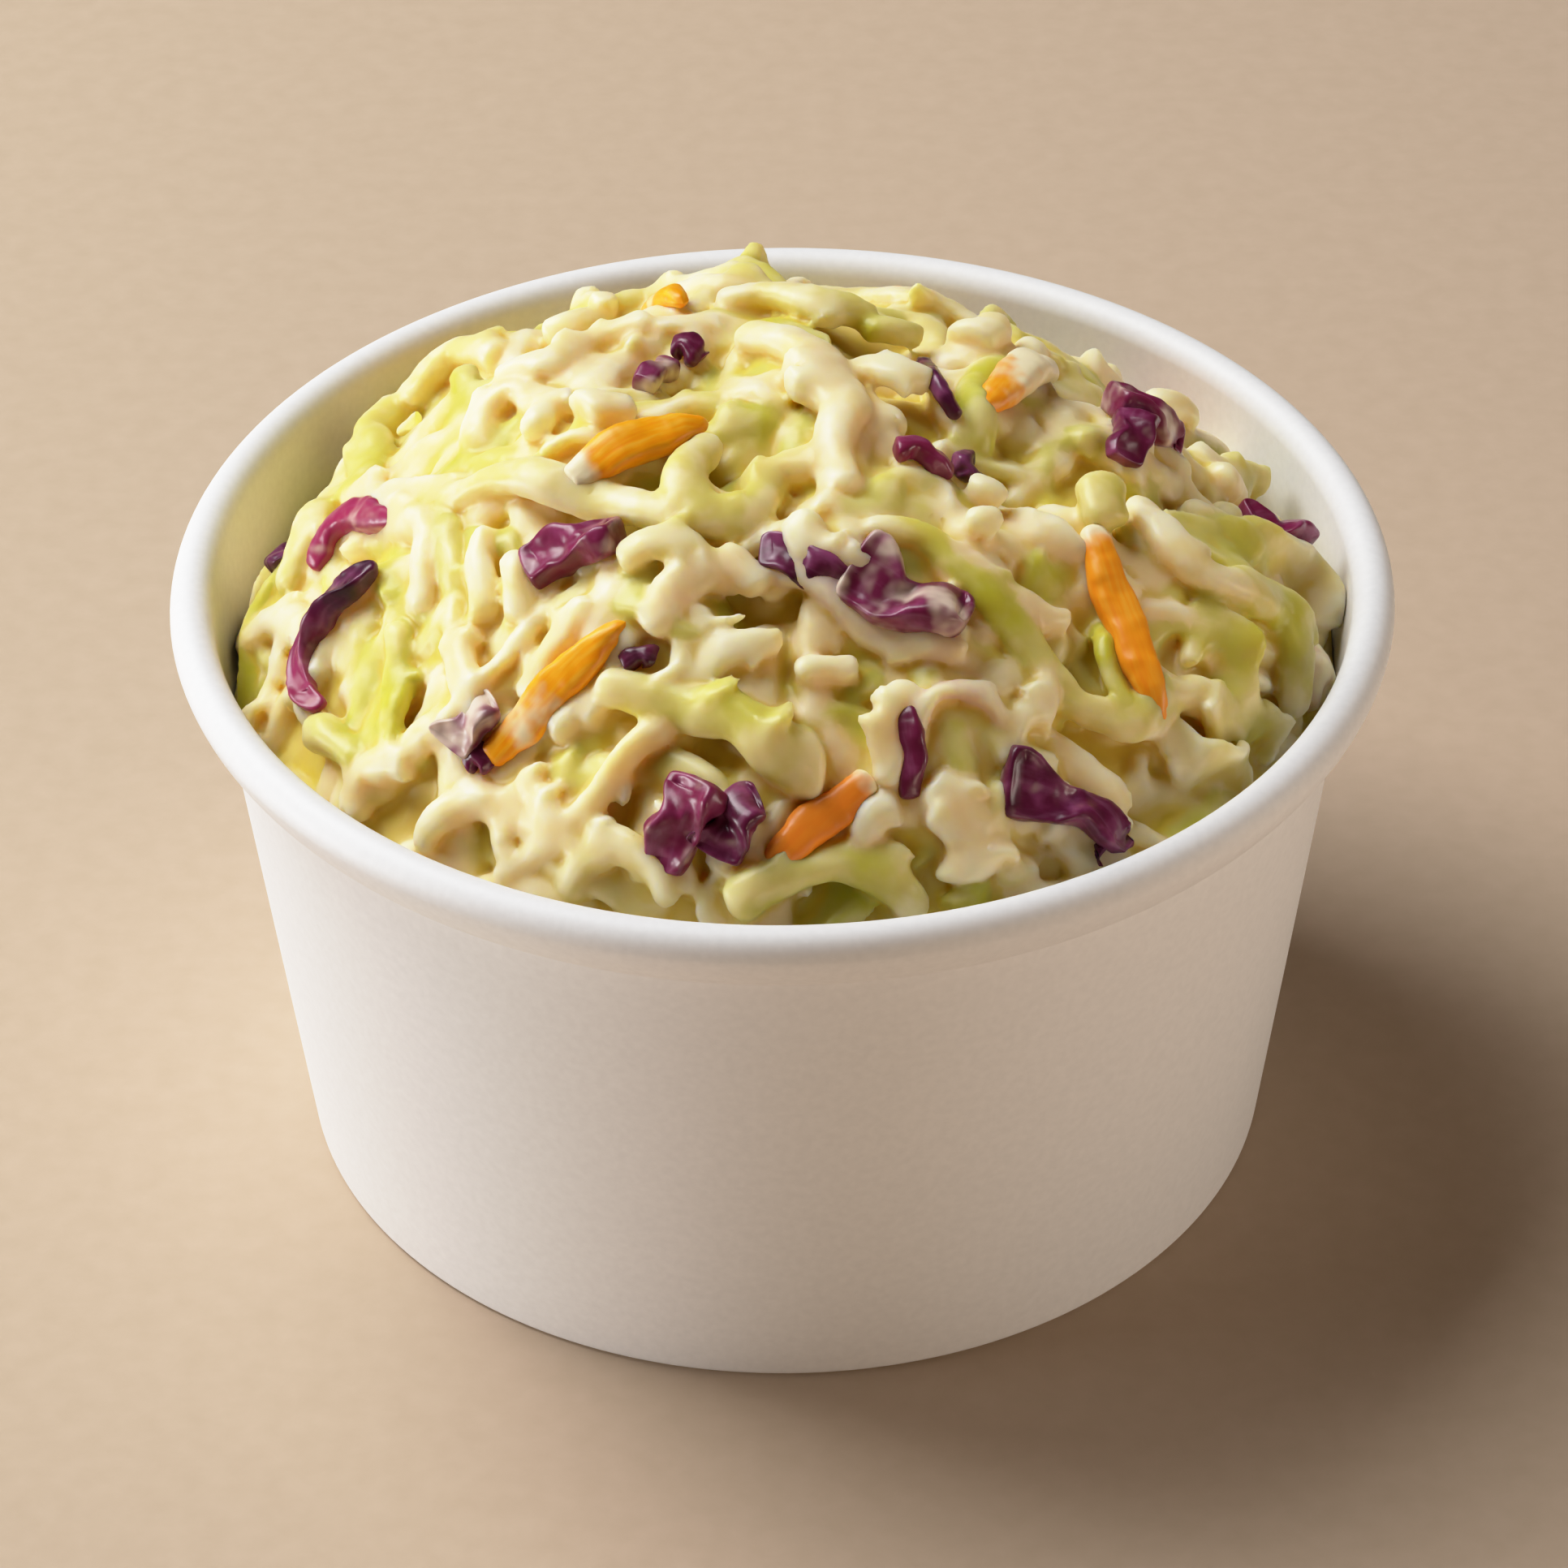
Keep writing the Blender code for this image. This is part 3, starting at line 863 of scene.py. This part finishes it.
def dressed_slaw():
    made, nodes, link, shader = new_material("dressed_slaw")
    green, height, ridge, pink = channels(nodes, link, "coat_and_shade")
    leaf = ramp(nodes, link, green, [
        (0.0, (0.90, 0.71, 0.39)), (0.35, (0.80, 0.66, 0.27)), (0.65, (0.67, 0.585, 0.13)), (1.0, (0.54, 0.51, 0.05))])
    leaf = mix(nodes, link, pink, leaf, (0.72, 0.50, 0.42))
    bare = between(nodes, link, green, 0.2, 0.9, 1.0, 0.3)
    smear = noise(nodes, link, 200, 3)
    film = sums(nodes, link, "MULTIPLY", between(nodes, link, smear, 0.44, 0.62, 0.0, 0.65), bare)
    filmed = mix(nodes, link, film, leaf, (0.90, 0.75, 0.44))
    # Painted shade: a saturated ochre laid into the heap's low places and into the hollows between shreds, where shade
    # falls.
    depth_shade = mix(nodes, link, between(nodes, link, height, 0.0, 0.55), (0.75, 0.56, 0.07), filmed)
    hollow_shade = mix(nodes, link, between(nodes, link, ridge, 0.1, 0.42, 0.35, 1.0), (0.75, 0.56, 0.06), depth_shade)
    # Cream on the ridges, where the smear noise allows: partly the dressing's own colour and partly a painted
    # highlight.
    cream_and_highlight = sums(nodes, link, "MULTIPLY", between(nodes, link, ridge, 0.5, 1.0), between(nodes, link, smear, 0.35, 0.55))
    cream_and_highlight = sums(nodes, link, "MULTIPLY", cream_and_highlight, bare)
    link(mix(nodes, link, cream_and_highlight, hollow_shade, (0.94, 0.80, 0.54)), shader.inputs["Base Color"])
    shader.inputs["Specular IOR Level"].default_value = 0.35
    soft_flesh(shader, 0.9, (1.0, 0.8, 0.3), 3 * MM, 0.36)
    relief = sums(nodes, link, "ADD", noise(nodes, link, 900, 3), fibres(nodes, link, 1600))
    bump(nodes, link, shader, relief, 0.4, 0.06 * MM)
    return made


def carrot():
    made, nodes, link, shader = new_material("carrot")
    cream, burnt, chance, along = channels(nodes, link, "tone")
    grain = fibres(nodes, link, 2200)
    flesh = ramp(nodes, link, grain, [(0.3, (0.98, 0.31, 0.004)), (0.5, (1.0, 0.38, 0.006)), (0.7, (1.0, 0.47, 0.03))])
    flesh = mix(nodes, link, burnt, flesh, (0.95, 0.24, 0.03))
    cover = between(nodes, link, sums(nodes, link, "ADD", cream, noise(nodes, link, 350, 2)), 0.85, 1.2)
    link(mix(nodes, link, cover, flesh, (0.92, 0.80, 0.52)), shader.inputs["Base Color"])
    soft_flesh(shader, 0.08, (1.0, 0.45, 0.1), 0.8 * MM, 0.35)
    shader.inputs["Specular IOR Level"].default_value = 0.3
    bump(nodes, link, shader, grain, 0.3, 0.08 * MM)
    return made


def red_cabbage():
    made, nodes, link, shader = new_material("red_cabbage")
    cream, magenta, chance, along = channels(nodes, link, "tone")
    patch = noise(nodes, link, 450, 3)
    flesh = ramp(nodes, link, patch, [(0.3, (0.022, 0.003, 0.012)), (0.5, (0.085, 0.010, 0.042)), (0.7, (0.22, 0.05, 0.14))])
    flesh = mix(nodes, link, magenta, flesh, (0.34, 0.024, 0.09))
    veins = between(nodes, link, fibres(nodes, link, 1500), 0.5, 0.75, 0.0, 0.22)
    flesh = mix(nodes, link, veins, flesh, (0.36, 0.16, 0.26))
    cover = between(nodes, link, sums(nodes, link, "ADD", cream, noise(nodes, link, 320, 2)), 0.74, 1.0, 0.0, 0.9)
    link(mix(nodes, link, cover, flesh, (0.74, 0.60, 0.48)), shader.inputs["Base Color"])
    shader.inputs["Specular IOR Level"].default_value = 0.4
    soft_flesh(shader, 0.12, (1.0, 0.3, 0.5), 0.8 * MM, 0.28)
    bump(nodes, link, shader, patch, 0.4, 0.1 * MM)
    return made


def finish_piece(made, paint):
    """Dresses a piece, and lets it stand for the heap of slaw."""
    made.data.materials.clear()
    made.data.materials.append(paint)
    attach(made, "root")
    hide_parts("slaw")


def fused_cabbage(handful):
    """The shreds and a core in their middle, run together by the dressing into one surface."""
    made = handful.join()
    core = heap_core("core", 2.9 * MM, 33 * MM, True)
    make_active(made)
    core.select_set(True)
    bpy.ops.object.join()
    source = made.copy()
    source.data = made.data.copy()
    bpy.context.scene.collection.objects.link(source)
    apply_modifier(made, "REMESH", mode="VOXEL", voxel_size=0.34 * MM, use_smooth_shade=True)
    apply_modifier(made, "SMOOTH", factor=0.5, iterations=4)
    lumps(made, 2.6 * MM, 0.3 * MM)
    lumps(made, 1.1 * MM, 0.14 * MM)
    press_to_wall(made)
    apply_modifier(made, "DECIMATE", ratio=min(1, 96000 / len(made.data.polygons)))
    take_tone(made, source)
    bpy.data.objects.remove(source)
    return made


def loose_pieces(handful, lump, strength):
    """Shreds that lie on the heap, each still a body of its own."""
    made = handful.join()
    lumps(made, lump, strength)
    press_to_wall(made)
    make_active(made)
    bpy.ops.object.shade_smooth()
    return made


def slaw():
    """The heap: cabbage fused by its dressing, with shreds of cabbage, carrot and red cabbage lying on it."""
    shapes = cabbage_shapes()
    sticks = carrot_shapes()
    reds = red_cabbage_shapes()
    rng = random.Random(11)
    taken = []
    cabbage = Handful("dressed_cabbage")
    carrots = Handful("carrot_shreds")
    red = Handful("red_cabbage_shreds")
    lay_all(rng, cabbage, shapes, CABBAGE_ON_TOP, taken)
    lay_all(rng, carrots, sticks, CARROT, taken)
    lay_all(rng, red, reds, RED_CABBAGE, taken)
    for kind, line, lift, width, tone, pink, swell in CARROT + RED_CABBAGE:
        wide = 0.65 if kind == "curl" else 1.0
        cabbage.lay(shapes["strand"][0], drape(line, part_way(lift, 0.5) - 1.7, tuck=0.2), wide * width, 0.8, 0.1)
    kinds = shapes["strand"] * 2 + shapes["branch"] + shapes["leaf"] + shapes["chunk"]
    scatter(rng, cabbage, kinds, 140, (-3.4, -2.3), (10, 18), (0.2, 0.5, 0.8), taken)
    scatter(rng, cabbage, kinds, 150, (-2.3, -1.3), (10, 18), (0.0, 0.2, 0.5, 1.0), taken)
    scatter(rng, cabbage, kinds, 95, (-1.5, -0.1), (9, 17), (0.0, 0.1, 0.4, 0.7, 1.0), taken)

    paint = dressed_slaw()
    made = fused_cabbage(cabbage)
    paint_coat_and_shade(made)
    finish_piece(made, paint)
    finish_piece(heap_core("slaw_core", 0.0, 34 * MM, False), paint)
    finish_piece(loose_pieces(carrots, 1.4 * MM, 0.3 * MM), carrot())
    finish_piece(loose_pieces(red, 1.4 * MM, 0.3 * MM), red_cabbage())
    for group in (*shapes.values(), *sticks.values(), *reds.values()):
        for shape in group:
            bpy.data.objects.remove(shape)


def main():
    studio()
    paper_cup()
    slaw()


main()
